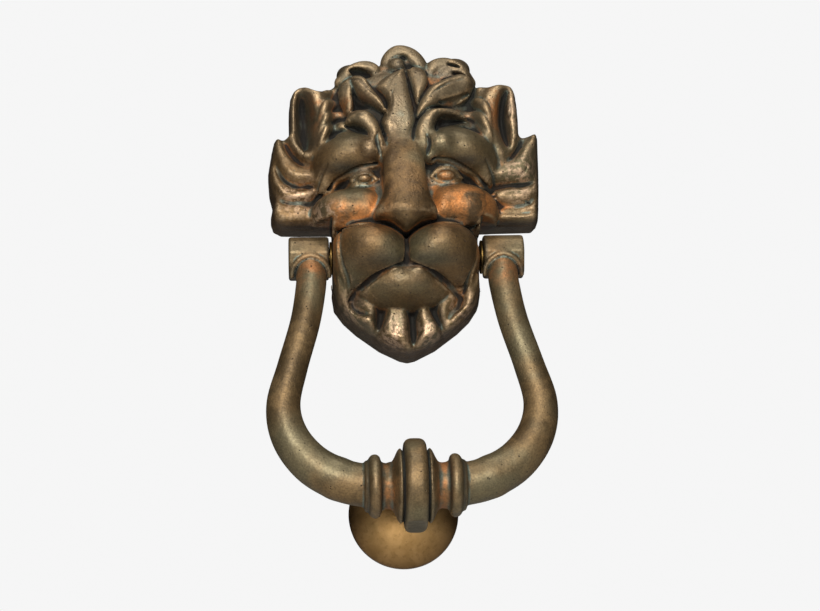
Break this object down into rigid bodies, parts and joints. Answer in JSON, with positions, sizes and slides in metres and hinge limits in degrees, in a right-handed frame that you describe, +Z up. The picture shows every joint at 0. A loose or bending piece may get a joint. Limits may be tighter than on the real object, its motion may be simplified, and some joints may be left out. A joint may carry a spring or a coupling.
{
  "type": "door knocker",
  "caption": "Lion-mask door knocker: hollow cast face, swinging bail handle with turned beads and hammer disc, separate domed striker, through-bolted to a door.",
  "frame": {"origin": "on the back plane of the mask, on the rib between its two fixing bosses, on the centre line", "axes": "+Z up the door, +Y into the door, -Y towards the caller, +X to the caller's right"},
  "size_m": [0.1084, 0.1098, 0.2054],
  "materials": {
    "mask_bronze": "aged, satin, dark patina in the hollows",
    "bail_bronze": "aged, satin, handled smooth",
    "striker_bronze": "aged, satin, golden brown",
    "fixing_brass": "turned, dull",
    "fixing_steel": "zinc plated"
  },
  "bodies": {
    "mask": {"lion_mask": "mask_bronze", "pivot_screw_left": "fixing_brass", "pivot_screw_right": "fixing_brass", "pivot_washer_left": "fixing_brass", "pivot_washer_right": "fixing_brass", "striker_button": "striker_bronze", "mask_stud_upper": "fixing_steel", "mask_stud_lower": "fixing_steel", "striker_stud": "fixing_steel", "mask_washer_upper": "fixing_steel", "mask_washer_lower": "fixing_steel", "striker_washer": "fixing_steel", "spring_washer_upper": "fixing_steel", "spring_washer_lower": "fixing_steel", "spring_washer_striker": "fixing_steel", "mask_nut_upper": "fixing_steel", "mask_nut_lower": "fixing_steel", "striker_nut": "fixing_steel"},
    "bail": {"knocker_bail": "bail_bronze"}
  },
  "joints": [
    {"name": "bail_swing", "type": "hinge", "parent": "mask", "child": "bail", "pos_m": [0, -0.012, -0.026], "axis": [-1, 0, 0], "range_deg": [0, 90]}
  ]
}
